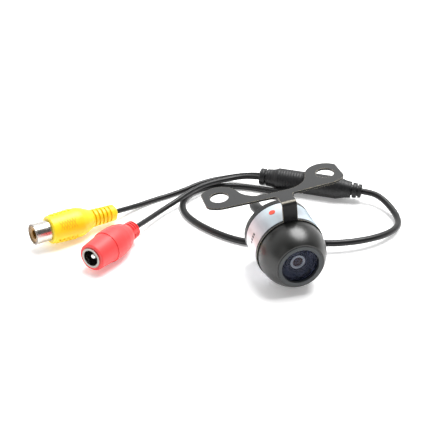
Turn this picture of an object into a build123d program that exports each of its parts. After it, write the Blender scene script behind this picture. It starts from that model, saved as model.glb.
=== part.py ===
"""Backup camera: a small round camera head clamped in a stamped bracket, with its leads and plugs.

Millimetres. +Z is up, -Y is the way the lens looks, and the origin is on the surface that the
head lies on, below the middle of the head and bracket. Turned pieces of the head are drawn as
(ahead, radius): "ahead" is the distance in front of the dome's rear rim, along the lens axis.
Pieces of the leads are drawn as (back, radius): "back" is the distance behind the piece's front.
"""
import os
from math import cos, radians, sin, sqrt, tan

from build123d import *

os.makedirs("parts", exist_ok=True)

# ---------------------------------------------------------------- head
RIM_X, RIM_Y = 3.17, -5.32      # centre of the dome's rear rim
AXIS_Z = 13.1                   # height of the lens axis: the head lies on its rear cap
DOME_R = 12.5
DOME_LIP = 1.0                  # straight rim before the dome curves in
DOME_FRONT = 10.3
DOME_NOSE_R = 8.9
BARREL_R = 12.9
BARREL_FRONT, BARREL_REAR = -0.9, -12.45
BARREL_BORE_R = 11.4
WALL_REAR = -2.4                # rear of the barrel's front wall
NECK_R = 9.95                   # threaded neck that the dome screws on to
NECK_BORE_R = 8.6
NECK_END = 5.0
THREAD_BORE_R = 10.0
LABEL_R = 13.05
SEAM_DEGREES = 8
CAP_R = 13.1
CAP_FRONT, CAP_REAR = -12.5, -16.8
CAP_EDGE_R = 2.0
BEZEL_R, BEZEL_BORE_R, BEZEL_FRONT = 8.3, 6.9, 10.5
WINDOW_R = 8.25
WINDOW_REAR, WINDOW_FRONT = 8.15, 9.35
SEAT_R = 8.35                   # counterbore in the dome that holds gasket, window and bezel
SEAT_REAR = 7.75
BOARD_R, BOARD_THICK = 10.8, 1.0
SENSOR_BOARD, POWER_BOARD = -3.6, -8.2          # rear face of each board
SCREW_CIRCLE_R = 9.7
GLAND_BORE_R = 1.4

# ---------------------------------------------------------------- bracket
SHEET = 0.8
RING_R = 12.9
RING_REAR = -0.85
BRACKET_ROLL = 6.5              # degrees that the bracket is turned about the lens axis
STRIP_WIDTH = 5.4
STRIP_OFFSET = 0.8              # strip's centre line, beside the lens axis
PLATE_OFFSET = -0.9             # middle of the two holes, beside the lens axis
PLATE_TOP = 20.5                # distance of the plate's outer face from the lens axis
BEND_R = 0.8                    # inside radius of the bend
HOLE_HALF_SPACING = 20.2
HOLE_BACK = 13.8                # holes behind the ring's plane
HOLE_R = 3.4
LOBE_R = 7.3
END_CUT = 26.0                  # each wing is cut off straight this far from the middle
BAR_FRONT, BAR_REAR = 5.7, 8.8
NECK_ARC_R = 9.0

# ---------------------------------------------------------------- leads
CABLE_D = 2.7
TAIL_D = 2.2
BOOT_D = 4.4
BOOT_BORE_R = 1.4
AXIS_Z_CONNECTOR = 4.95
CONNECTOR_R = 4.9
CONNECTOR_REAR = (14.45, 65.53, AXIS_Z_CONNECTOR)   # flange that the two tails leave
CONNECTOR_LENGTH = 45.3
CONNECTOR_YAW = -32.2                               # degrees, direction towards the camera's lead
TAIL_SPREAD = 1.2                                   # each tail beside the connector's axis
MATING_FACE = 19.5                                  # where the two halves meet, from the flange
PIN_CIRCLE_R = 1.5
RCA_FRONT, RCA_REAR = (-87.1, 37.7, 7.9), (-53.5, 51.9, 4.6)
DC_FRONT, DC_REAR = (-66.9, 17.0, 7.3), (-48.1, 35.8, 5.5)


def lead_point(along, side=0.0):
    """A point on the in-line connector, from its rear flange, with +side away from the viewer."""
    yaw = radians(CONNECTOR_YAW)
    x = CONNECTOR_REAR[0] + along * cos(yaw) - side * sin(yaw)
    y = CONNECTOR_REAR[1] + along * sin(yaw) + side * cos(yaw)
    return (x, y, AXIS_Z_CONNECTOR)


CABLE_ROUTE = [
    (RIM_X, RIM_Y + 16.85, AXIS_Z),
    (RIM_X, 16.0, AXIS_Z),
    (2.6, 22.6, 12.6),
    (0.8, 29.2, 11.4),
    (1.6, 35.4, 10.6),
    (5.8, 39.8, 9.8),
    (11.9, 41.0, 8.7),
    (17.7, 41.2, 6.7),
    (21.9, 44.7, 4.7),
    (22.9, 50.4, 3.0),
    (20.1, 55.4, 1.6),
    (14.6, 59.3, 1.4),
    (8.6, 63.3, 1.4),
    (1.8, 66.3, 1.4),
    (-5.6, 68.0, 1.4),
    (-13.4, 67.6, 1.4),
    (-20.2, 63.4, 1.4),
    (-23.9, 56.4, 1.4),
    (-24.4, 48.6, 1.4),
    (-22.0, 41.2, 1.4),
    (-18.0, 34.1, 1.4),
    (-13.0, 27.6, 1.4),
    (-7.4, 22.2, 1.4),
    (-0.2, 18.2, 1.6),
    (7.8, 16.6, 2.2),
    (15.4, 13.2, 3.2),
    (21.6, 8.9, 4.0),
    (28.5, 7.2, 4.0),
    (37.5, 6.7, 4.0),
    (46.0, 8.2, 3.6),
    (53.4, 11.7, 2.8),
    (58.6, 16.6, 2.1),
    (60.8, 23.0, 2.2),
    (60.6, 29.4, 3.2),
    (59.2, 34.8, 4.4),
    (56.7, 38.9, AXIS_Z_CONNECTOR),
    lead_point(CONNECTOR_LENGTH),
]
VIDEO_ROUTE = [
    lead_point(0.0, TAIL_SPREAD),
    (11.8, 68.6, 4.6),
    (6.8, 71.4, 3.4),
    (0.8, 73.9, 1.8),
    (-6.0, 74.6, 1.15),
    (-13.2, 72.2, 1.15),
    (-20.0, 68.6, 1.15),
    (-27.2, 65.7, 1.15),
    (-34.8, 63.5, 1.15),
    (-41.9, 60.1, 1.5),
    (-47.8, 56.0, 3.0),
    RCA_REAR,
]
POWER_ROUTE = [
    lead_point(0.0, -TAIL_SPREAD),
    (10.6, 66.6, 4.8),
    (5.2, 68.4, 4.3),
    (-0.8, 67.9, 4.2),
    (-7.2, 66.6, 4.4),
    (-13.8, 64.1, 4.5),
    (-20.4, 59.7, 4.5),
    (-26.2, 55.6, 3.9),
    (-32.6, 51.6, 3.2),
    (-38.7, 45.9, 3.6),
    (-43.7, 40.1, 4.9),
    DC_REAR,
]


# ---------------------------------------------------------------- shared constructions
def head_plane(ahead):
    """Plane across the lens axis, facing forwards, with its y axis up."""
    return Plane(origin=(RIM_X, RIM_Y - ahead, AXIS_Z), x_dir=(1, 0, 0), z_dir=(0, -1, 0))


HEAD_PROFILE = Plane(origin=(RIM_X, RIM_Y, AXIS_Z), x_dir=(0, -1, 0), z_dir=(-1, 0, 0))
HEAD_AXIS = Axis((RIM_X, RIM_Y, AXIS_Z), (0, -1, 0))


def lead_frame(front, rear):
    """Profile plane and axis of a turned piece that runs from its front to its rear."""
    along = (Vector(*rear) - Vector(*front)).normalized()
    plane = Plane(origin=front, x_dir=along, z_dir=Vector(along.Y, -along.X, 0))
    return plane, Axis(front, along)


RCA_PLANE, RCA_AXIS = lead_frame(RCA_FRONT, RCA_REAR)
DC_PLANE, DC_AXIS = lead_frame(DC_FRONT, DC_REAR)
JOIN_PLANE, JOIN_AXIS = lead_frame(lead_point(0.0), lead_point(CONNECTOR_LENGTH))


def save(piece, label):
    """Label a finished piece and write it."""
    piece.label = label
    export_step(piece, f"parts/{label}.step")


def turned(outline, plane, axis, sweep_degrees=360):
    """A body of revolution from a closed outline of (along, radius) points."""
    with BuildPart() as body:
        with BuildSketch(plane):
            with BuildLine():
                Polyline(*outline, close=True)
            make_face()
        revolve(axis=axis, revolution_arc=sweep_degrees)
    return body.part


def ring(start, end, inner, outer):
    """Outline of a plain ring, tube or (with inner 0) disc."""
    return [(start, inner), (start, outer), (end, outer), (end, inner)]


def head_ring(label, rear, front, inner, outer):
    save(turned(ring(rear, front, inner, outer), HEAD_PROFILE, HEAD_AXIS), label)


def corner_radii(route):
    """Arc at each inner point: 0.45 of the shorter run over the tangent of half the turn."""
    radii = []
    for before, here, after in zip(route, route[1:], route[2:]):
        run_in = Vector(*here) - Vector(*before)
        run_out = Vector(*after) - Vector(*here)
        half_turn = radians(run_in.get_angle(run_out) / 2)
        radii.append(0.45 * min(run_in.length, run_out.length) / tan(half_turn))
    return radii


def tube(route, radii, outer_r, bore_r=0.0):
    """A round tube along straight runs joined by tangent arcs."""
    with BuildPart() as lead:
        with BuildLine() as path:
            FilletPolyline(*route, radius=radii)
        with BuildSketch(Plane(origin=path.line @ 0, z_dir=path.line % 0)) as section:
            Circle(outer_r)
            if bore_r:
                Circle(bore_r, mode=Mode.SUBTRACT)
        sweep()
    length = sum(piece.length for piece in path.edges())
    swept = section.sketch.area * length
    print(f"tube {length:.1f} mm, volume {lead.part.volume:.0f} of {swept:.0f},",
          "radii", [round(r, 1) for r in radii])
    return lead.part


# ================================================================ head: screwed front
with BuildPart() as front_dome:
    nose_drop = DOME_R - DOME_NOSE_R
    nose_run = DOME_FRONT - DOME_LIP
    crown_r = (nose_run**2 + nose_drop**2) / (2 * nose_drop)
    mid_run = nose_run / 2
    mid_r = DOME_R - crown_r + sqrt(crown_r**2 - mid_run**2)
    with BuildSketch(HEAD_PROFILE):
        with BuildLine():
            Line((0, THREAD_BORE_R), (0, DOME_R))
            Line((0, DOME_R), (DOME_LIP, DOME_R))
            ThreePointArc((DOME_LIP, DOME_R), (DOME_LIP + mid_run, mid_r), (DOME_FRONT, DOME_NOSE_R))
            Polyline(
                (DOME_FRONT, DOME_NOSE_R),
                (DOME_FRONT, SEAT_R),
                (SEAT_REAR, SEAT_R),
                (SEAT_REAR, 7.0),
                (6.75, 7.0),
                (6.75, 9.0),
                (5.75, THREAD_BORE_R),
                (0, THREAD_BORE_R),
            )
        make_face()
    revolve(axis=HEAD_AXIS)
save(front_dome.part, "front_dome")

head_ring("window_gasket", SEAT_REAR, WINDOW_REAR, 7.0, 8.2)
head_ring("window_glass", WINDOW_REAR, WINDOW_FRONT, 0, WINDOW_R)
head_ring("front_bezel", WINDOW_FRONT, BEZEL_FRONT, BEZEL_BORE_R, BEZEL_R)
head_ring("front_seal", 5.05, 5.65, 8.8, 9.9)

# ================================================================ head: barrel and rear cap
with BuildPart() as barrel_housing:
    with BuildSketch(HEAD_PROFILE):
        with BuildLine():
            Polyline(
                (NECK_END, NECK_BORE_R),
                (NECK_END, NECK_R),
                (BARREL_FRONT, NECK_R),
                (BARREL_FRONT, BARREL_R),
                (BARREL_REAR, BARREL_R),
                (BARREL_REAR, BARREL_BORE_R),
                (WALL_REAR, BARREL_BORE_R),
                (WALL_REAR, NECK_BORE_R),
                close=True,
            )
        make_face()
    revolve(axis=HEAD_AXIS)
    with BuildSketch(head_plane(WALL_REAR)):
        with PolarLocations(SCREW_CIRCLE_R, 2):
            Circle(0.8)
    extrude(amount=1.1, mode=Mode.SUBTRACT)
save(barrel_housing.part, "barrel_housing")

# wrapped round the barrel, with its seam left open underneath
foil = turned(ring(-12.3, -1.15, BARREL_R + 0.02, LABEL_R), HEAD_PROFILE, HEAD_AXIS, 360 - SEAM_DEGREES)
save(foil.rotate(HEAD_AXIS, 180 + SEAM_DEGREES / 2), "foil_label")

with BuildPart() as rear_cap:
    with BuildSketch(HEAD_PROFILE):
        with BuildLine():
            Polyline(
                (CAP_REAR, 11.1),
                (CAP_REAR, 2.9),
                (-15.0, 2.9),
                (-15.0, 10.0),
                (-9.5, 10.0),
                (-9.5, 11.35),
                (-10.2, 11.35),
                (-10.2, 10.5),
                (-11.2, 10.5),
                (-11.2, 11.35),
                (CAP_FRONT, 11.35),
                (CAP_FRONT, CAP_R),
                (CAP_REAR + CAP_EDGE_R, CAP_R),
            )
            RadiusArc((CAP_REAR + CAP_EDGE_R, CAP_R), (CAP_REAR, 11.1), CAP_EDGE_R)
        make_face()
    revolve(axis=HEAD_AXIS)
save(rear_cap.part, "rear_cap")

with BuildPart() as cap_seal:
    with BuildSketch(HEAD_PROFILE):
        with Locations((-10.7, 10.93)):
            Circle(0.41)
    revolve(axis=HEAD_AXIS)
save(cap_seal.part, "cap_seal")

gland = [(-16.75, GLAND_BORE_R), (-16.75, 2.85), (-14.95, 2.85), (-14.95, 3.6),
         (-13.95, 3.6), (-13.95, GLAND_BORE_R)]
save(turned(gland, HEAD_PROFILE, HEAD_AXIS), "gland_bushing")

# ================================================================ head: lens
head_ring("light_shield", 4.0, 4.7, 4.05, 8.5)

holder = [(-2.6, 5.0), (-2.6, 8.5), (3.6, 8.5), (3.6, 4.0), (-0.9, 4.0), (-0.9, 5.0)]
save(turned(holder, HEAD_PROFILE, HEAD_AXIS), "lens_holder")

lens_tube = [(-0.7, 1.9), (-0.7, 3.97), (4.8, 3.97), (4.8, 4.6), (7.4, 4.6), (7.6, 4.4), (7.6, 2.8),
             (5.7, 2.8), (5.7, 2.0), (2.9, 2.0), (2.9, 2.65), (1.0, 2.65), (1.0, 1.9)]
save(turned(lens_tube, HEAD_PROFILE, HEAD_AXIS), "lens_barrel")

head_ring("lens_retainer", 7.15, 7.55, 1.95, 2.77)
head_ring("aperture_stop", 3.1, 3.3, 0.7, 1.97)


def lens_element(rear, rim, pole, glass_r, curve_r):
    """A glass element, flat behind and domed in front, with a flat rim outside the dome."""
    rise = pole - rim
    crown = (curve_r**2 + rise**2) / (2 * rise)
    middle = (pole - crown + sqrt(crown**2 - (curve_r / 2) ** 2), curve_r / 2)
    with BuildPart() as element:
        with BuildSketch(HEAD_PROFILE):
            with BuildLine():
                Polyline((rear, 0), (rear, glass_r), (rim, glass_r), (rim, curve_r))
                ThreePointArc((rim, curve_r), middle, (pole, 0))
                Line((pole, 0), (rear, 0))
            make_face()
        revolve(axis=HEAD_AXIS)
    return element.part


save(lens_element(5.75, 7.1, 7.85, 2.75, 1.9), "lens_front_element")
save(lens_element(1.05, 2.1, 2.75, 2.6, 2.4), "lens_rear_element")

# ================================================================ head: electronics
with BuildPart() as ir_filter:
    with BuildSketch(head_plane(-1.25)):
        Rectangle(6, 6)
    extrude(amount=0.3)
save(ir_filter.part, "ir_filter")

with BuildPart() as image_sensor:
    with BuildSketch(head_plane(-2.6)):
        RectangleRounded(6.4, 6.0, 0.3)
    extrude(amount=0.9)
save(image_sensor.part, "image_sensor")


def board(rear_face):
    """A round circuit board with two screw holes and a flat on each side."""
    with BuildPart() as card:
        with BuildSketch(head_plane(rear_face)):
            Circle(BOARD_R)
            with Locations((0, BOARD_R + 0.6), (0, -BOARD_R - 0.6)):
                Rectangle(12, 2.4, mode=Mode.SUBTRACT)
            with PolarLocations(SCREW_CIRCLE_R, 2):
                Circle(0.85, mode=Mode.SUBTRACT)
        extrude(amount=BOARD_THICK)
    return card.part


save(board(SENSOR_BOARD), "sensor_board")
save(board(POWER_BOARD), "power_board")

with BuildPart() as board_spacers:
    with BuildSketch(head_plane(POWER_BOARD + BOARD_THICK)):
        with PolarLocations(SCREW_CIRCLE_R, 2):
            Circle(1.5)
            Circle(0.85, mode=Mode.SUBTRACT)
    extrude(amount=SENSOR_BOARD - POWER_BOARD - BOARD_THICK)
save(board_spacers.part, "board_spacers")

with BuildPart() as board_screws:
    with BuildSketch(head_plane(POWER_BOARD)):
        with PolarLocations(SCREW_CIRCLE_R, 2):
            Circle(0.75)
    extrude(amount=6.7)
    with BuildSketch(head_plane(POWER_BOARD)):
        with PolarLocations(SCREW_CIRCLE_R, 2):
            Circle(1.45)
    extrude(amount=-1.0)
    with BuildSketch(head_plane(POWER_BOARD - 1.0)):
        with PolarLocations(SCREW_CIRCLE_R, 2):
            Rectangle(2.0, 0.4)
            Rectangle(0.4, 2.0)
    extrude(amount=0.5, mode=Mode.SUBTRACT)
save(board_screws.part, "board_screws")

# chips, a crystal, a coil and rows of small parts, as (x, y, width, height, tall)
SENSOR_BOARD_PARTS = [(0, 3.5, 5, 5, 0.9), (-5.5, -3, 3, 1.4, 0.6), (5, -3.2, 2.2, 1.6, 0.7)]
POWER_BOARD_PARTS = [(-3.4, 4.6, 4, 4, 1.0), (4.2, 4.4, 3.6, 3.6, 1.6), (-6.4, -1.2, 2.6, 1.2, 0.6)]
with BuildPart() as board_components:
    for face, parts in ((SENSOR_BOARD, SENSOR_BOARD_PARTS), (POWER_BOARD, POWER_BOARD_PARTS)):
        for x, y, width, height, tall in parts:
            with BuildSketch(head_plane(face)):
                with Locations((x, y)):
                    Rectangle(width, height)
            extrude(amount=-tall)
        with BuildSketch(head_plane(face)):
            with Locations((0, -7.4)):
                with GridLocations(1.6, 1, 5, 1):
                    Rectangle(0.6, 1.0)
        extrude(amount=-0.5)
save(board_components.part, "board_components")

with BuildPart() as board_connector:
    with BuildSketch(head_plane(POWER_BOARD)):
        with Locations((0, -1.5)):
            Rectangle(8, 3.4)
    extrude(amount=-3.4)
    with BuildSketch(head_plane(POWER_BOARD - 3.4)):
        with Locations((0, -1.5)):
            with GridLocations(1.5, 1, 4, 1):
                Rectangle(0.9, 1.6)
    extrude(amount=2.4, mode=Mode.SUBTRACT)
save(board_connector.part, "board_connector")

# four wires from the lead to the board's connector, each in its own socket
with BuildPart() as inner_wires:
    gland_x = 0.62
    for column in (-1.5, -0.5, 0.5, 1.5):
        x = column * 1.5
        near = head_plane(-13.4).from_local_coords((column * gland_x * 0.9, 0, 0))
        far = head_plane(-9.4).from_local_coords((x, -1.5, 0))
        bend = head_plane(-11.9).from_local_coords((x, -1.5, 0))
        start = head_plane(-16.7).from_local_coords((column * gland_x * 0.9, 0, 0))
        with BuildLine() as wire:
            FilletPolyline(start, near, bend, far, radius=0.6)
        with BuildSketch(Plane(origin=start, z_dir=(0, -1, 0))):
            Circle(0.25)
        sweep(path=wire.line)
save(inner_wires.part, "inner_wires")

# ================================================================ bracket
roll = radians(BRACKET_ROLL)
across = Vector(cos(roll), 0, sin(roll))
outward = Vector(-sin(roll), 0, cos(roll))
ring_centre = Vector(RIM_X, RIM_Y - RING_REAR, AXIS_Z)
rim_centre = Vector(RIM_X, RIM_Y, AXIS_Z)
strip_left = STRIP_OFFSET - STRIP_WIDTH / 2
bend_start = PLATE_TOP - SHEET - BEND_R
ring_front = RING_REAR + SHEET
bend_back = BEND_R - RING_REAR


def on_circle(centre, radius, degrees):
    """A point on a circle, for the middle of an arc."""
    return (centre[0] + radius * cos(radians(degrees)), centre[1] + radius * sin(radians(degrees)))


with BuildPart() as mounting_bracket:
    # ring, and the strip that rises from it
    with BuildSketch(Plane(origin=ring_centre, x_dir=across, z_dir=(0, -1, 0))) as stamped:
        Circle(RING_R)
        with Locations((STRIP_OFFSET, bend_start / 2)):
            Rectangle(STRIP_WIDTH, bend_start)
        Circle(THREAD_BORE_R, mode=Mode.SUBTRACT)
    extrude(amount=SHEET)
    # the bend, seen along the strip's width
    with BuildSketch(Plane(origin=rim_centre + across * strip_left, x_dir=(0, 1, 0), z_dir=across)):
        with BuildLine():
            CenterArc((bend_back, bend_start), BEND_R + SHEET, 90, 90)
            CenterArc((bend_back, bend_start), BEND_R, 90, 90)
            Line((-ring_front, bend_start), (-RING_REAR, bend_start))
            Line((bend_back, PLATE_TOP - SHEET), (bend_back, PLATE_TOP))
        make_face()
    extrude(amount=STRIP_WIDTH)
    # two wings with the mounting holes
    lobe = (HOLE_HALF_SPACING, HOLE_BACK)
    cut_half = sqrt(LOBE_R**2 - (END_CUT - HOLE_HALF_SPACING) ** 2)
    arc_centre_y = BAR_REAR + NECK_ARC_R
    arc_reach = sqrt((LOBE_R + NECK_ARC_R) ** 2 - (arc_centre_y - HOLE_BACK) ** 2)
    arc_centre = (HOLE_HALF_SPACING - arc_reach, arc_centre_y)
    share = LOBE_R / (LOBE_R + NECK_ARC_R)
    blend_point = (lobe[0] - share * arc_reach, lobe[1] + share * (arc_centre_y - HOLE_BACK))
    plate_origin = rim_centre + outward * (PLATE_TOP - SHEET) + across * PLATE_OFFSET
    with BuildSketch(Plane(origin=plate_origin, x_dir=across, z_dir=outward)) as plate:
        with BuildLine():
            Line((0, BAR_FRONT), (HOLE_HALF_SPACING, HOLE_BACK - LOBE_R))
            ThreePointArc(
                (HOLE_HALF_SPACING, HOLE_BACK - LOBE_R),
                on_circle(lobe, LOBE_R, -65),
                (END_CUT, HOLE_BACK - cut_half),
            )
            Line((END_CUT, HOLE_BACK - cut_half), (END_CUT, HOLE_BACK + cut_half))
            ThreePointArc((END_CUT, HOLE_BACK + cut_half), on_circle(lobe, LOBE_R, 100), blend_point)
            ThreePointArc(
                blend_point,
                on_circle(arc_centre, NECK_ARC_R, -52),
                (arc_centre[0], BAR_REAR),
            )
            Line((arc_centre[0], BAR_REAR), (0, BAR_REAR))
            Line((0, BAR_REAR), (0, BAR_FRONT))
        make_face()
        mirror(about=Plane.YZ)
        tips = plate.vertices().filter_by(lambda v: abs(abs(v.X) - END_CUT) < 0.01)
        fillet([v for v in tips if v.Y < HOLE_BACK], 2.8)
        tips = plate.vertices().filter_by(lambda v: abs(abs(v.X) - END_CUT) < 0.01)
        fillet([v for v in tips if v.Y > HOLE_BACK + 2], 1.2)
        with Locations((STRIP_OFFSET - PLATE_OFFSET, (bend_back + BAR_FRONT + 1) / 2)):
            Rectangle(STRIP_WIDTH, BAR_FRONT + 1 - bend_back)
        strip_edge = STRIP_WIDTH / 2 + 0.01
        inner = [
            v
            for v in plate.vertices()
            if abs(v.X - STRIP_OFFSET + PLATE_OFFSET) < strip_edge and abs(v.Y - BAR_FRONT) < 0.4
            and abs(v.X - STRIP_OFFSET + PLATE_OFFSET) > strip_edge - 0.02
        ]
        fillet(inner, 1.6)
        with Locations((HOLE_HALF_SPACING, HOLE_BACK), (-HOLE_HALF_SPACING, HOLE_BACK)):
            Circle(HOLE_R, mode=Mode.SUBTRACT)
    extrude(amount=SHEET)
save(mounting_bracket.part, "mounting_bracket")

# ================================================================ leads
cable_radii = corner_radii(CABLE_ROUTE)
save(tube(CABLE_ROUTE, cable_radii, CABLE_D / 2), "camera_cable")
save(tube(VIDEO_ROUTE, corner_radii(VIDEO_ROUTE), TAIL_D / 2), "video_tail")
save(tube(POWER_ROUTE, corner_radii(POWER_ROUTE), TAIL_D / 2), "power_tail")

# the boot follows the first bends of the camera's lead and ends halfway along its third run
boot_end = (Vector(*CABLE_ROUTE[3]) + Vector(*CABLE_ROUTE[4])) * 0.5
boot_route = CABLE_ROUTE[:4] + [(boot_end.X, boot_end.Y, boot_end.Z)]
save(tube(boot_route, cable_radii[:3], BOOT_D / 2, BOOT_BORE_R), "cable_boot")

# ================================================================ in-line connector
# drawn from the flange where the tails enter (0) to the ribs where the camera's lead leaves (45.3)
tail_half = [(0, 0), (0, 3.4), (0.4, 3.75), (2.4, 3.75), (2.4, 2.8), (3.2, 2.8), (3.2, 3.75), (6.0, 4.0),
             (8.2, CONNECTOR_R), (MATING_FACE, CONNECTOR_R), (MATING_FACE, 3.95), (9.5, 3.95), (9.5, 0)]
save(turned(tail_half, JOIN_PLANE, JOIN_AXIS), "socket_overmould")
save(turned(ring(9.55, MATING_FACE, 3.5, 3.92), JOIN_PLANE, JOIN_AXIS), "socket_shell")
save(turned(ring(27.5, 14.0, 3.02, 3.4), JOIN_PLANE, JOIN_AXIS), "plug_shell")

camera_half = [(27.55, 0), (27.55, 3.95), (MATING_FACE + 0.05, 3.95),
               (MATING_FACE + 0.05, CONNECTOR_R - 0.35), (MATING_FACE + 1.0, CONNECTOR_R),
               (34.6, CONNECTOR_R), (38.8, 3.8), (40.7, 3.6), (40.7, 2.4), (41.5, 2.4), (41.5, 3.35),
               (43.2, 3.3), (43.2, 2.4), (43.9, 2.4), (43.9, 3.1), (44.9, 3.0),
               (CONNECTOR_LENGTH, 2.7), (CONNECTOR_LENGTH, 0)]
save(turned(camera_half, JOIN_PLANE, JOIN_AXIS), "plug_overmould")
save(turned(ring(MATING_FACE + 0.1, 27.5, 3.43, 3.92), JOIN_PLANE, JOIN_AXIS), "plug_seal")


def join_section(along):
    """Plane across the connector, facing from its tails to the camera's lead."""
    return Plane(origin=lead_point(along), x_dir=(-JOIN_AXIS.direction.Y, JOIN_AXIS.direction.X, 0),
                 z_dir=JOIN_AXIS.direction)


with BuildPart() as socket_insert:
    with BuildSketch(join_section(9.55)):
        Circle(2.95)
        with PolarLocations(PIN_CIRCLE_R, 4, start_angle=45):
            Circle(0.62, mode=Mode.SUBTRACT)
    extrude(amount=8.0)
save(socket_insert.part, "socket_insert")

with BuildPart() as socket_contacts:
    with BuildSketch(join_section(10.5)):
        with PolarLocations(PIN_CIRCLE_R, 4, start_angle=45):
            Circle(0.6)
            Circle(0.4, mode=Mode.SUBTRACT)
    extrude(amount=6.6)
save(socket_contacts.part, "socket_contacts")

with BuildPart() as plug_insert:
    with BuildSketch(join_section(19.6)):
        Circle(3.0)
        with PolarLocations(PIN_CIRCLE_R, 4, start_angle=45):
            Circle(0.4, mode=Mode.SUBTRACT)
    extrude(amount=7.8)
save(plug_insert.part, "plug_insert")

with BuildPart() as plug_pins:
    with BuildSketch(join_section(12.6)):
        with PolarLocations(PIN_CIRCLE_R, 4, start_angle=45):
            Circle(0.37)
    extrude(amount=14.6)
save(plug_pins.part, "plug_pins")

# ================================================================ RCA socket on the video tail
RCA_LENGTH = (Vector(*RCA_REAR) - Vector(*RCA_FRONT)).length
RCA_GRIP_FRONT = 6.6            # the barrel stands this far out of the grip
rca_tube = [(0, 3.45), (0, 4.15), (RCA_GRIP_FRONT, 4.15), (RCA_GRIP_FRONT, 3.8), (12.0, 3.8), (12.0, 3.45)]
save(turned(rca_tube, RCA_PLANE, RCA_AXIS), "rca_barrel")
save(turned(ring(0.5, 11.5, 2.05, 3.42), RCA_PLANE, RCA_AXIS), "rca_insulator")
contact = [(0.9, 1.6), (0.9, 2.02), (11.5, 2.02), (11.5, 0), (9.6, 0), (9.6, 1.6)]
save(turned(contact, RCA_PLANE, RCA_AXIS), "rca_centre_contact")

GROOVES, GROOVE_PITCH, GROOVE_WIDTH = 5, 1.8, 0.75
relief = []
for groove in range(GROOVES):
    start = 25.7 + groove * GROOVE_PITCH
    relief_r = 3.7 - 0.05 * groove
    relief += [(start, relief_r), (start, 2.6), (start + GROOVE_WIDTH, 2.6),
               (start + GROOVE_WIDTH, relief_r - 0.05)]
rca_grip = [(12.05, 0), (12.05, 3.85), (RCA_GRIP_FRONT, 3.85), (RCA_GRIP_FRONT, 5.2), (7.0, 5.6),
            (18.6, 6.1), (19.8, 6.0), (22.0, 5.3), (24.2, 4.3), (25.0, 3.85)]
rca_grip += relief + [(RCA_LENGTH - 0.7, 3.4), (RCA_LENGTH, 2.7), (RCA_LENGTH, 0)]
with BuildPart() as rca_overmould:
    with BuildSketch(RCA_PLANE):
        with BuildLine():
            Polyline(*rca_grip, close=True)
        make_face()
    revolve(axis=RCA_AXIS)
save(rca_overmould.part, "rca_overmould")

# ================================================================ power socket on the power tail
DC_LENGTH = (Vector(*DC_REAR) - Vector(*DC_FRONT)).length
DC_PIN_FOOT = 9.0               # bottom of the socket, where the pin stands up
save(turned(ring(-0.5, 10.0, 3.15, 4.0), DC_PLANE, DC_AXIS), "dc_sleeve")
save(turned(ring(DC_PIN_FOOT, 11.5, 0.75, 3.12), DC_PLANE, DC_AXIS), "dc_insulator")
with BuildPart() as dc_centre_pin:
    with BuildSketch(DC_PLANE):
        with BuildLine():
            Polyline(
                (0.9, 0),
                (0.9, 0.8),
                (1.2, 1.05),
                (DC_PIN_FOOT, 1.05),
                (DC_PIN_FOOT, 0.7),
                (12.5, 0.7),
                (12.5, 0),
                close=True,
            )
        make_face()
    revolve(axis=DC_AXIS)
    slot_plane = Plane(origin=DC_FRONT, x_dir=DC_PLANE.y_dir, z_dir=DC_AXIS.direction)
    with BuildSketch(slot_plane.offset(0.8)):
        Rectangle(3, 0.3)
    extrude(amount=3.0, mode=Mode.SUBTRACT)
save(dc_centre_pin.part, "dc_centre_pin")

dc_grip = [(12.55, 0), (12.55, 3.15), (10.05, 3.15), (10.05, 4.03), (0, 4.03), (0, 5.1), (0.3, 5.35),
           (8.8, 6.0), (8.8, 6.3), (11.0, 6.4), (14.0, 6.4), (17.0, 6.0), (19.6, 5.2), (21.2, 4.3),
           (21.8, 3.9), (DC_LENGTH - 0.6, 3.6), (DC_LENGTH, 2.9), (DC_LENGTH, 0)]
with BuildPart() as dc_overmould:
    with BuildSketch(DC_PLANE):
        with BuildLine():
            Polyline(*dc_grip, close=True)
        make_face()
    revolve(axis=DC_AXIS)
    # three rows of slots round the relief, with four webs left between them, so that it can flex
    for start in (22.3, 23.6, 24.9):
        slot = turned(ring(start, start + 0.7, 2.5, 4.4), DC_PLANE, DC_AXIS, 68)
        for quarter in range(4):
            add(slot.rotate(DC_AXIS, 90 * quarter - 10), mode=Mode.SUBTRACT)
save(dc_overmould.part, "dc_overmould")
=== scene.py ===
"""Looks for the backup camera: camera and leads first, then materials, detailed pieces and the studio."""

import math

import bmesh
import bpy
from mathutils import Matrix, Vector


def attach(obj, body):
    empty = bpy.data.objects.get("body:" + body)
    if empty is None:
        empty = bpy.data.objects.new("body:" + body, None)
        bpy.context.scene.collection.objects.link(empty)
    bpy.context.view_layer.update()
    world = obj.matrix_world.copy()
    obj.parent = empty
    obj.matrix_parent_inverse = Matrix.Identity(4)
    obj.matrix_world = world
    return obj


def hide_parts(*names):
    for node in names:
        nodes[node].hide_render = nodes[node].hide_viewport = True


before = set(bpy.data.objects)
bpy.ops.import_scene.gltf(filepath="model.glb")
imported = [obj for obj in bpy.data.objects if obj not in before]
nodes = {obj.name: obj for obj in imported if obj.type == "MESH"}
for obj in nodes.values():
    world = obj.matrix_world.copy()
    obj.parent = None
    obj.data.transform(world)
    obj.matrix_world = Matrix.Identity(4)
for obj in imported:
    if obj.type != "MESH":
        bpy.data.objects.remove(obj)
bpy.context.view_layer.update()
ROOT, HEAD = "bracket_and_leads", "head"

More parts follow.
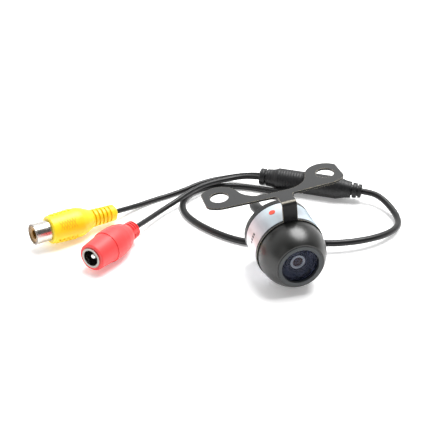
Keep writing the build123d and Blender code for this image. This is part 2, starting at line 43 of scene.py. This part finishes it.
# ---------------------------------------------------------------- the photograph's viewpoint
camera_data = bpy.data.cameras.new("camera")
camera_data.lens = 63.2
camera_data.sensor_width = 36
camera_data.clip_start = 0.005
camera = bpy.data.objects.new("camera", camera_data)
bpy.context.collection.objects.link(camera)
camera.location = (-0.0811, -0.2181, 0.1675)
camera.rotation_euler = (math.radians(58.5), 0, math.radians(-14.7))
bpy.context.scene.camera = camera
bpy.context.scene.view_settings.view_transform = "Standard"

# ---------------------------------------------------------------- places on the head and leads
RIM = Vector((0.00317, -0.00532, 0.0131))        # centre of the dome's rear rim
SOCKET_END = Vector((0.01445, 0.06553, 0.00495))    # where the tails leave the in-line connector
JOIN_YAW = math.radians(-32.2)
JOIN = Vector((math.cos(JOIN_YAW), math.sin(JOIN_YAW), 0))
RCA_FRONT, RCA_REAR = Vector((-0.0871, 0.0377, 0.0079)), Vector((-0.0535, 0.0519, 0.0046))
DC_FRONT, DC_REAR = Vector((-0.0669, 0.017, 0.0073)), Vector((-0.0481, 0.0358, 0.0055))
TAIL_SPREAD = 0.0012
side = Vector((-JOIN.y, JOIN.x, 0))
PLUG_END = SOCKET_END + JOIN * 0.0453

# ---------------------------------------------------------------- leads
CABLE_ROUTE = [
    (0.00317, 0.01153, 0.0131),
    (0.00317, 0.016, 0.0131),
    (0.0026, 0.0226, 0.0126),
    (0.0008, 0.0292, 0.0114),
    (0.0016, 0.0354, 0.0106),
    (0.0058, 0.0398, 0.0098),
    (0.0119, 0.041, 0.0087),
    (0.0177, 0.0412, 0.0067),
    (0.0219, 0.0447, 0.0047),
    (0.0229, 0.0504, 0.003),
    (0.0201, 0.0554, 0.0016),
    (0.0146, 0.0593, 0.0014),
    (0.0086, 0.0633, 0.0014),
    (0.0018, 0.0663, 0.0014),
    (-0.0056, 0.068, 0.0014),
    (-0.0134, 0.0676, 0.0014),
    (-0.0202, 0.0634, 0.0014),
    (-0.0239, 0.0564, 0.0014),
    (-0.0244, 0.0486, 0.0014),
    (-0.022, 0.0412, 0.0014),
    (-0.018, 0.0341, 0.0014),
    (-0.013, 0.0276, 0.0014),
    (-0.0074, 0.0222, 0.0014),
    (-0.0002, 0.0182, 0.0016),
    (0.0078, 0.0166, 0.0022),
    (0.0154, 0.0132, 0.0032),
    (0.0216, 0.0089, 0.004),
    (0.0285, 0.0072, 0.004),
    (0.0375, 0.0067, 0.004),
    (0.046, 0.0082, 0.0036),
    (0.0534, 0.0117, 0.0028),
    (0.0586, 0.0166, 0.0021),
    (0.0608, 0.023, 0.0022),
    (0.0606, 0.0294, 0.0032),
    (0.0592, 0.0348, 0.0044),
    (0.0567, 0.0389, 0.00495),
    tuple(PLUG_END),
]
VIDEO_ROUTE = [
    tuple(SOCKET_END + side * TAIL_SPREAD),
    (0.0118, 0.0686, 0.0046),
    (0.0068, 0.0714, 0.0034),
    (0.0008, 0.0739, 0.0018),
    (-0.006, 0.0746, 0.00115),
    (-0.0132, 0.0722, 0.00115),
    (-0.02, 0.0686, 0.00115),
    (-0.0272, 0.0657, 0.00115),
    (-0.0348, 0.0635, 0.00115),
    (-0.0419, 0.0601, 0.0015),
    (-0.0478, 0.056, 0.003),
    tuple(RCA_REAR),
]
POWER_ROUTE = [
    tuple(SOCKET_END - side * TAIL_SPREAD),
    (0.0106, 0.0666, 0.0048),
    (0.0052, 0.0684, 0.0043),
    (-0.0008, 0.0679, 0.0042),
    (-0.0072, 0.0666, 0.0044),
    (-0.0138, 0.0641, 0.0045),
    (-0.0204, 0.0597, 0.0045),
    (-0.0262, 0.0556, 0.0039),
    (-0.0326, 0.0516, 0.0032),
    (-0.0387, 0.0459, 0.0036),
    (-0.0437, 0.0401, 0.0049),
    tuple(DC_REAR),
]


def lead(name, route, diameter):
    """A round lead on one smooth curve."""
    curve = bpy.data.curves.new(name, "CURVE")
    curve.dimensions = "3D"
    spline = curve.splines.new("NURBS")
    spline.points.add(len(route) - 1)
    for point, place in zip(spline.points, route):
        point.co = (*place, 1)
        point.radius = diameter / 2
    spline.order_u = 3
    spline.use_endpoint_u = True
    spline.resolution_u = 12
    curve.bevel_depth = 1
    curve.bevel_resolution = 6
    curve.use_fill_caps = True
    piece = bpy.data.objects.new(name, curve)
    bpy.context.collection.objects.link(piece)
    return piece


camera_lead = lead("camera_lead", CABLE_ROUTE, 0.0027)
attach(camera_lead, ROOT)
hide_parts("camera_cable")
video_lead = lead("video_lead", VIDEO_ROUTE, 0.0022)
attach(video_lead, ROOT)
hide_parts("video_tail")
power_lead = lead("power_lead", POWER_ROUTE, 0.0022)
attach(power_lead, ROOT)
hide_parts("power_tail")


# ---------------------------------------------------------------- shader nodes
EDGE_SHARP, EDGE_COLOURED = 0.985, 0.86         # cosine of the turn between a face and its softened edge
FACING_START, FACING_FULL = 0.93, 0.985         # cosine of the angle between a face and the direction whose faces take the second colour
EDGE_WEIGHT = 1.6                                   # how far the edge colour outweighs the cloudiness
CLOUD_DETAIL, GRAIN_DETAIL = 4, 3
CLOUD_LOW, CLOUD_HIGH = 0.3, 0.7            # where nearly all of a noise lies
GRAIN_DEPTH = 0.0001
RIDGE_DEPTH, RIDGE_STRENGTH = 0.00012, 0.3


def add(tree, kind, inputs=None, **settings):
    """A new node; each input is a value, or an output of another node to link from."""
    node = tree.nodes.new(kind)
    for setting, value in settings.items():
        setattr(node, setting, value)
    for socket, value in (inputs or {}).items():
        if isinstance(value, bpy.types.NodeSocket):
            tree.links.new(value, node.inputs[socket])
        else:
            node.inputs[socket].default_value = value
    return node


def noise(tree, place, scale, detail):
    return add(tree, "ShaderNodeTexNoise", {"Vector": place, "Scale": scale, "Detail": detail}).outputs["Fac"]


def ranged(tree, value, low, high, start=0.0, end=1.0, kind="LINEAR"):
    """A value between low and high, carried over to start and end."""
    inputs = {"Value": value, "From Min": low, "From Max": high, "To Min": start, "To Max": end}
    return add(tree, "ShaderNodeMapRange", inputs, interpolation_type=kind).outputs["Result"]


def maths(tree, operation, first, second=0.0, clamp=False):
    node = add(tree, "ShaderNodeMath", {0: first, 1: second}, operation=operation, use_clamp=clamp)
    return node.outputs["Value"]


def along(tree, vector, direction):
    """How far a vector points along a direction."""
    node = add(tree, "ShaderNodeVectorMath", {0: vector, 1: direction}, operation="DOT_PRODUCT")
    return node.outputs["Value"]


def relief(tree, height, strength, depth, normal):
    inputs = {"Height": height, "Strength": strength, "Distance": depth}
    if normal:
        inputs["Normal"] = normal
    return add(tree, "ShaderNodeBump", inputs).outputs["Normal"]


def wear_and_painted_light(tree, surface, tint, cloud, edge, wear_and_painted_light_colour, coloured_facing, facing_share):
    """A second colour on softened edges, and on faces that look along a given direction: worn bare metal on
    the bracket's edges, painted shade on the bezel's edges, a painted highlight on the bracket's bend, and a
    darker colour on the plug barrels' edges and fronts.
    """
    facing = add(tree, "ShaderNodeNewGeometry").outputs["Normal"]
    edge_mask = ranged(tree, along(tree, edge, facing), EDGE_SHARP, EDGE_COLOURED, 0, EDGE_WEIGHT)
    patchy_edge_mask = maths(tree, "MULTIPLY", edge_mask, cloud, clamp=True)
    facing_mask = ranged(tree, along(tree, facing, coloured_facing), FACING_START, FACING_FULL, 0, facing_share, "SMOOTHSTEP")
    wear_and_painted_light_mask = maths(tree, "MAXIMUM", patchy_edge_mask, facing_mask)
    if not surface.inputs["Metallic"].default_value:
        tree.links.new(wear_and_painted_light_mask, surface.inputs["Metallic"])
    mix = add(tree, "ShaderNodeMix", {"Factor": wear_and_painted_light_mask, "A": tint, "B": (*wear_and_painted_light_colour, 1)}, data_type="RGBA")
    return mix.outputs["Result"]


def shader(name, colour, roughness, metallic=0.0, mottle=0.06, scale=900, grain=0.0, grain_scale=2500,
           rough_spread=0.06, bevel=0.0, specular=0.5, ridges=None, wear_and_painted_light_colour=None, coloured_facing=None, facing_share=1.0):
    """A surface with slight unevenness of colour and roughness, fine grain, and softened edges.

    ridges is (direction, pitch) of fine moulded rings; the second colour shows on sharp edges and, by a
    share, on faces that look along a given direction: worn bare metal, painted shade or a painted highlight,
    by material.
    """
    material = bpy.data.materials.new(name)
    material.use_nodes = True
    tree = material.node_tree
    surface = tree.nodes["Principled BSDF"]
    surface.inputs["Metallic"].default_value = metallic
    surface.inputs["Specular IOR Level"].default_value = specular
    place = add(tree, "ShaderNodeTexCoord").outputs["Object"]
    cloud = noise(tree, place, scale, CLOUD_DETAIL)
    shade = ranged(tree, cloud, 0, 1, 1 - mottle, 1 + mottle)
    tint = add(tree, "ShaderNodeVectorMath", {0: colour, "Scale": shade}, operation="SCALE").outputs["Vector"]
    smoothest, roughest = max(0.02, roughness - rough_spread), min(1.0, roughness + rough_spread)
    gloss = ranged(tree, cloud, CLOUD_LOW, CLOUD_HIGH, smoothest, roughest)
    tree.links.new(gloss, surface.inputs["Roughness"])
    normal = None
    if bevel:
        normal = add(tree, "ShaderNodeBevel", {"Radius": bevel}, samples=6).outputs["Normal"]
    if wear_and_painted_light_colour:
        tint = wear_and_painted_light(tree, surface, tint, cloud, normal, wear_and_painted_light_colour, coloured_facing, facing_share)
    tree.links.new(tint, surface.inputs["Base Color"])
    if ridges:
        direction, pitch = ridges
        phase = maths(tree, "MULTIPLY", along(tree, place, direction), 2 * math.pi / pitch)
        normal = relief(tree, maths(tree, "SINE", phase), RIDGE_STRENGTH, RIDGE_DEPTH, normal)
    if grain:
        fine = noise(tree, place, grain_scale, GRAIN_DETAIL)
        normal = relief(tree, fine, grain, GRAIN_DEPTH, normal)
    if normal:
        tree.links.new(normal, surface.inputs["Normal"])
    return material


def surface_of(material):
    return material.node_tree.nodes["Principled BSDF"]


# ---------------------------------------------------------------- materials
enamel = shader("black enamel", (0.0055, 0.0058, 0.0048), 0.31, mottle=0.08, grain=0.015,
                rough_spread=0.02, bevel=0.00015, specular=0.62)
# near-black on the bezel's softened edges: painted shade along the ring's rims; faces looking back take it
# too, out of sight
bezel = shader("matt black paint", (0.042, 0.047, 0.049), 0.5, metallic=0.2, grain=0.12, bevel=0.0002,
               wear_and_painted_light_colour=(0.003, 0.003, 0.003), coloured_facing=(0, 1, 0))
cap_black = shader("moulded black", (0.009, 0.009, 0.01), 0.36, grain=0.06, bevel=0.0002, specular=0.35)
seal = shader("sealing rubber", (0.012, 0.012, 0.012), 0.6, grain=0.1, specular=0.3)
pvc = shader("glossy black cable", (0.007, 0.007, 0.0075), 0.35, grain=0.1, grain_scale=1500, specular=0.35)
joiner = shader("satin black connector", (0.011, 0.011, 0.012), 0.45, grain=0.12, bevel=0.0002, specular=0.35,
                ridges=(JOIN, 0.0012))
nickel = shader("nickel plating", (0.6, 0.57, 0.53), 0.22, metallic=1, mottle=0.04, grain=0.03, bevel=0.00015)
# the barrel's and the sleeve's softened edges and front faces take a darker colour: dark brown on the barrel,
# grey on the sleeve
barrel_nickel = shader("barrel plating", (0.62, 0.59, 0.55), 0.24, metallic=1, mottle=0.04, grain=0.03,
                       bevel=0.00015, wear_and_painted_light_colour=(0.12, 0.09, 0.07), coloured_facing=(RCA_FRONT - RCA_REAR).normalized())
sleeve_nickel = shader("sleeve plating", (0.6, 0.58, 0.55), 0.22, metallic=1, mottle=0.04, grain=0.03,
                       bevel=0.0001, wear_and_painted_light_colour=(0.3, 0.29, 0.27), coloured_facing=(DC_FRONT - DC_REAR).normalized())
yellow = shader("yellow moulding", (0.98, 0.72, 0.012), 0.42, mottle=0.03, grain=0.08, bevel=0.0002)
yellow_shade = shader("yellow moulding in shade", (0.95, 0.5, 0.01), 0.5, mottle=0.03)
red = shader("red moulding", (0.86, 0.055, 0.055), 0.45, mottle=0.03, grain=0.08, bevel=0.0002)
tan = shader("tan insulator", (0.42, 0.25, 0.1), 0.45, mottle=0.1, grain=0.1)
black_plastic = shader("black insulator", (0.012, 0.012, 0.012), 0.5, grain=0.1)
shade_black = shader("lens shade", (0.02, 0.027, 0.058), 0.5, mottle=0.1, grain=0.08, specular=0.2)
gold = shader("gold flash", (0.85, 0.6, 0.25), 0.2, metallic=1)
silver = shader("bright pin", (0.8, 0.79, 0.77), 0.14, metallic=1)
black_metal = shader("black anodised", (0.02, 0.02, 0.022), 0.35, metallic=0.5)
lens_metal = shader("dark lens tube", (0.018, 0.022, 0.036), 0.35, metallic=0.4)
lens_ring = shader("pale lens ring", (0.75, 0.8, 0.88), 0.35, metallic=0.7, bevel=0.0001)
board_green = shader("circuit board", (0.02, 0.13, 0.05), 0.35, mottle=0.3, scale=2500)
chips = shader("chip packages", (0.02, 0.02, 0.022), 0.4)
brass = shader("brass", (0.7, 0.5, 0.2), 0.3, metallic=1)
screw = shader("zinc plated", (0.6, 0.6, 0.6), 0.3, metallic=1)
white_nylon = shader("white nylon", (0.8, 0.79, 0.74), 0.4)
wire = shader("wire insulation", (0.5, 0.05, 0.04), 0.35)
silicon = shader("sensor", (0.03, 0.04, 0.035), 0.15, mottle=0.4, scale=4000)
mark_red = shader("red mark", (0.85, 0.07, 0.03), 0.4, mottle=0.03)
mark_dark = shader("dark mark", (0.03, 0.02, 0.02), 0.4, mottle=0.03)


def coated_steel():
    """Black paint, worn bare on its edges, with a brass-coloured painted highlight on the bend and painted
    shade, a lower specular level, on the strip's front.
    """
    # the brass colour, part metallic, on faces looking up and forward is a painted highlight on the bend; on
    # the softened edges it is worn bare metal
    material = shader("satin black coating", (0.016, 0.0165, 0.017), 0.34, scale=1400, grain=0.04,
                      bevel=0.00016, wear_and_painted_light_colour=(0.55, 0.48, 0.34), coloured_facing=(-0.11, -0.42, 0.9), facing_share=0.2)
    tree = material.node_tree
    facing = add(tree, "ShaderNodeNewGeometry").outputs["Normal"]
    # faces looking forward get a lower specular level: painted shade that darkens the strip's front
    painted_front_shade = ranged(tree, along(tree, facing, (0, -1, 0)), 0.5, 0.95, 0.5, 0.15)
    tree.links.new(painted_front_shade, surface_of(material).inputs["Specular IOR Level"])
    return material


def glass(name, colour, clear, roughness=0.03):
    """A tinted glass; clear is the share of light that goes through instead of meeting the tint."""
    material = shader(name, colour, roughness, mottle=0.01, rough_spread=0.01)
    surface_of(material).inputs["Transmission Weight"].default_value = clear
    surface_of(material).inputs["IOR"].default_value = 1.48
    return material


def window_glass():
    """Dark glass that hides most of what is behind it."""
    material = glass("tinted window", (0.018, 0.024, 0.052), 0.0, roughness=0.3)
    surface_of(material).inputs["Alpha"].default_value = 0.38
    surface_of(material).inputs["Specular IOR Level"].default_value = 0.2
    return material


FOIL_PAINTED_LIGHT = [                  # share of the way round from below, and the painted colour there: bluish, pinkish and near-white painted sheen, and a grey band of painted shade
    (0.0, (0.72, 0.74, 0.8)),
    (0.22, (0.8, 0.81, 0.86)),
    (0.3, (0.62, 0.5, 0.52)),
    (0.36, (0.45, 0.43, 0.46)),
    (0.42, (0.55, 0.63, 0.68)),
    (0.52, (0.72, 0.76, 0.8)),
    (0.62, (0.5, 0.62, 0.7)),
    (0.8, (0.75, 0.77, 0.8)),
]


def foil_with_painted_sheen():
    """Silver foil coloured by the way round the barrel: bluish, pinkish and near-white painted sheen, with a
    grey band of painted shade.
    """
    material = shader("silver foil", (0.7, 0.72, 0.75), 0.35, metallic=0.65, mottle=0.03, rough_spread=0.05)
    tree = material.node_tree
    place = add(tree, "ShaderNodeTexCoord").outputs["Object"]
    offset = add(tree, "ShaderNodeVectorMath", {0: place, 1: RIM}, operation="SUBTRACT").outputs["Vector"]
    parts = add(tree, "ShaderNodeSeparateXYZ", {"Vector": offset}).outputs
    turn = maths(tree, "ARCTAN2", parts["X"], parts["Z"])
    ramp = add(tree, "ShaderNodeValToRGB", {"Fac": ranged(tree, turn, -math.pi, math.pi)})
    while len(ramp.color_ramp.elements) < len(FOIL_PAINTED_LIGHT):
        ramp.color_ramp.elements.new(0.5)
    for stop, (where, colour) in zip(ramp.color_ramp.elements, FOIL_PAINTED_LIGHT):
        stop.position = where
        stop.color = (*colour, 1)
    tree.links.new(ramp.outputs["Color"], surface_of(material).inputs["Base Color"])
    return material


def coat_nodes(material, *names):
    """Give CAD nodes a better material."""
    for name in names:
        mesh = nodes[name].data
        mesh.materials.clear()
        mesh.materials.append(material)


coat_nodes(enamel, "front_dome")
coat_nodes(bezel, "front_bezel")
coat_nodes(window_glass(), "window_glass")
coat_nodes(glass("coated lens", (0.3, 0.17, 0.13), 0.45), "lens_front_element", "lens_rear_element")
coat_nodes(glass("filter glass", (0.5, 0.85, 0.8), 1.0), "ir_filter")
coat_nodes(cap_black, "rear_cap")
coat_nodes(seal, "window_gasket", "front_seal", "cap_seal", "gland_bushing", "plug_seal")
coat_nodes(black_metal, "barrel_housing", "aperture_stop")
coat_nodes(lens_ring, "lens_retainer")
coat_nodes(shade_black, "light_shield", "lens_holder")
coat_nodes(black_plastic, "plug_insert", "socket_insert", "dc_insulator")
coat_nodes(lens_metal, "lens_barrel")
coat_nodes(foil_with_painted_sheen(), "foil_label")
coat_nodes(coated_steel(), "mounting_bracket")
coat_nodes(pvc, "cable_boot")
coat_nodes(joiner, "plug_overmould", "socket_overmould")
coat_nodes(nickel, "plug_shell", "socket_shell")
coat_nodes(barrel_nickel, "rca_barrel")
coat_nodes(sleeve_nickel, "dc_sleeve")
coat_nodes(gold, "plug_pins", "socket_contacts", "rca_centre_contact")
coat_nodes(silver, "dc_centre_pin")
coat_nodes(yellow, "rca_overmould")
coat_nodes(red, "dc_overmould")
coat_nodes(tan, "rca_insulator")
coat_nodes(board_green, "sensor_board", "power_board")
coat_nodes(chips, "board_components")
coat_nodes(brass, "board_spacers")
coat_nodes(screw, "board_screws")
coat_nodes(white_nylon, "board_connector")
coat_nodes(wire, "inner_wires")
coat_nodes(silicon, "image_sensor")
for piece in (camera_lead, video_lead, power_lead):
    piece.data.materials.append(pvc)


# ---------------------------------------------------------------- printed marks and moulded pads
UP = Vector((0, 0, 1))
HEAD_BACK = Vector((0, 1, 0))
LABEL_RADIUS = 0.01305
SINK = 0.000005                 # the underside of a patch, above the body it lies on
MARK_THICK, DOT_THICK = 0.00003, 0.0001
DOT_BACK, DOT_RADIUS, DOT_DEGREES, DOT_HALF_DEGREES, DOT_POINTS = 0.0083, 0.0012, 22, 5.3, 24
BAR_START, BAR_END, BAR_DEGREES = 0.0058, 0.0071, 3
GRIP_START, GRIP_LENGTH = 0.007, 0.0116
GRIP_RADIUS, GRIP_SWELL = 0.0056, 0.0005
HATCH_SIDES, HATCH_START, HATCH_PITCH, HATCH_LINES = (-55, 125), 0.0102, 0.0011, 6
HATCH_WIDTH, HATCH_LEAN, HATCH_STEP = 0.0002, 0.0014, 9
RIB_SIDES, RIB_START, RIB_PITCH, RIBS, RIB_WIDTH, RIB_STEP = (35, -145), 0.0086, 0.0018, 5, 0.0009, 14
RIB_THICK = 0.0003


def wrapped(name, rings, front, along_axis, radius_at, up, material, body, thick):
    """A thin patch laid on a round body: rings of (distance along, degrees round) from rim to middle."""
    across = up.cross(along_axis).normalized()
    mesh = bpy.data.meshes.new(name)
    build = bmesh.new()

    def spot(distance, degrees, lift):
        turn = math.radians(degrees)
        out = up * math.cos(turn) + across * math.sin(turn)
        return build.verts.new(front + along_axis * distance + out * (radius_at(distance) + lift))

    for outline in rings:
        low = [spot(d, a, SINK) for d, a in outline]
        high = [spot(d, a, thick) for d, a in outline]
        build.faces.new(high)
        build.faces.new(list(reversed(low)))
        for k in range(len(outline)):
            n = (k + 1) % len(outline)
            build.faces.new((low[k], low[n], high[n], high[k]))
    bmesh.ops.recalc_face_normals(build, faces=build.faces)
    build.to_mesh(mesh)
    build.free()
    mesh.materials.append(material)
    piece = bpy.data.objects.new(name, mesh)
    bpy.context.collection.objects.link(piece)
    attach(piece, body)


def on_label(name, rings, material, thick):
    wrapped(name, rings, RIM, HEAD_BACK, lambda distance: LABEL_RADIUS, UP, material, HEAD, thick)


def dot_outline():
    outline = []
    for k in range(DOT_POINTS):
        turn = 2 * math.pi * k / DOT_POINTS
        back = DOT_BACK + DOT_RADIUS * math.cos(turn)
        outline.append((back, DOT_DEGREES + DOT_HALF_DEGREES * math.sin(turn)))
    return outline


def bar_outline(start):
    end = start + BAR_DEGREES
    return [(BAR_START, start), (BAR_END, start), (BAR_END, end), (BAR_START, end)]


on_label("label_dot", [dot_outline()], mark_red, DOT_THICK)
on_label("label_bar", [bar_outline(start) for start in (66, 71, 76, 81)], mark_dark, MARK_THICK)

RCA_LINE = (RCA_REAR - RCA_FRONT).normalized()
rca_up = (UP - RCA_LINE * UP.dot(RCA_LINE)).normalized()


def on_grip(name, rings, material, thick):
    """A patch on the yellow grip, between its front and the start of its taper."""
    def grip_radius(distance):
        return GRIP_RADIUS + (distance - GRIP_START) / GRIP_LENGTH * GRIP_SWELL

    wrapped(name, rings, RCA_FRONT, RCA_LINE, grip_radius, rca_up, material, ROOT, thick)


def hatching(lean):
    """Slanting lines on both sides, each in short pieces that follow the grip round."""
    pieces = []
    for middle in HATCH_SIDES:
        for k in range(HATCH_LINES):
            for turn in range(-2 * HATCH_STEP, 2 * HATCH_STEP, HATCH_STEP):
                start, end = middle + turn, middle + turn + HATCH_STEP
                line = HATCH_START + HATCH_PITCH * k
                a = line + lean * turn / (4 * HATCH_STEP)
                b = line + lean * (turn + HATCH_STEP) / (4 * HATCH_STEP)
                pieces.append([(a, start), (a + HATCH_WIDTH, start), (b + HATCH_WIDTH, end), (b, end)])
    return pieces


def ribs():
    """Short ribs across the grip's top and bottom, in pieces that follow it round."""
    pieces = []
    for middle in RIB_SIDES:
        for k in range(RIBS):
            front = RIB_START + RIB_PITCH * k
            back = front + RIB_WIDTH
            for turn in range(-2 * RIB_STEP, 2 * RIB_STEP, RIB_STEP):
                start, end = middle + turn, middle + turn + RIB_STEP
                pieces.append([(front, start), (back, start), (back, end), (front, end)])
    return pieces


# the hatch lines take the deeper orange: painted shade in the grooves between the grip's raised lozenges
on_grip("grip_hatching", hatching(HATCH_LEAN), yellow_shade, 0.00012)
on_grip("grip_cross_hatching", hatching(-HATCH_LEAN), yellow_shade, 0.0001)
on_grip("grip_ribs", ribs(), yellow, RIB_THICK)

# ---------------------------------------------------------------- studio
FLOOR_HALF = 3.0
FLOOR_GLOW = 0.25
SKY_FRONT, SKY_BACK = 0.12, 1.25            # brightness in front of the object and behind it
SUN_ENERGY, SUN_DEGREES, SUN_FROM = 4.2, 40, (0.33, 0.19, 1.0)
BOX_ENERGY, BOX_SIZE, BOX_FROM = 0.35, (0.35, 0.5), (-0.6, -0.35, 0.45)


def lay_floor():
    mesh = bpy.data.meshes.new("floor")
    corners = [(-FLOOR_HALF, -FLOOR_HALF, 0), (FLOOR_HALF, -FLOOR_HALF, 0),
               (FLOOR_HALF, FLOOR_HALF, 0), (-FLOOR_HALF, FLOOR_HALF, 0)]
    mesh.from_pydata(corners, [], [(0, 1, 2, 3)])
    floor = bpy.data.objects.new("floor", mesh)
    bpy.context.collection.objects.link(floor)
    white = shader("white floor", (0.93, 0.93, 0.93), 0.5, mottle=0.004, rough_spread=0.02)
    surface_of(white).inputs["Emission Color"].default_value = (1, 1, 1, 1)
    surface_of(white).inputs["Emission Strength"].default_value = FLOOR_GLOW
    white.cycles.emission_sampling = "NONE"
    mesh.materials.append(white)


def light_sky():
    """A bright backdrop behind, a dark room in front, and a bright band along the horizon."""
    world = bpy.data.worlds.new("studio")
    bpy.context.scene.world = world
    world.use_nodes = True
    tree = world.node_tree
    direction = add(tree, "ShaderNodeTexCoord").outputs["Generated"]
    parts = add(tree, "ShaderNodeSeparateXYZ", {"Vector": direction}).outputs
    backdrop = ranged(tree, parts["Y"], -0.5, 0.6, SKY_FRONT, SKY_BACK, "SMOOTHSTEP")
    horizon = ranged(tree, parts["Z"], 0.2, 0.06, 0, 1, "SMOOTHSTEP")
    tree.links.new(maths(tree, "MAXIMUM", backdrop, horizon), tree.nodes["Background"].inputs["Color"])


def aimed(data, place, target):
    lamp = bpy.data.objects.new(data.name, data)
    bpy.context.collection.objects.link(lamp)
    lamp.location = place
    lamp.rotation_mode = "QUATERNION"
    lamp.rotation_quaternion = (Vector(target) - Vector(place)).to_track_quat("-Z", "Y")


lay_floor()
light_sky()
overhead = bpy.data.lights.new("overhead softbox", "SUN")
overhead.energy = SUN_ENERGY
overhead.angle = math.radians(SUN_DEGREES)
aimed(overhead, SUN_FROM, (0, 0, 0))
left_box = bpy.data.lights.new("left softbox", "AREA")
left_box.shape = "RECTANGLE"
left_box.size, left_box.size_y = BOX_SIZE
left_box.energy = BOX_ENERGY
aimed(left_box, BOX_FROM, (0, 0.02, 0.01))
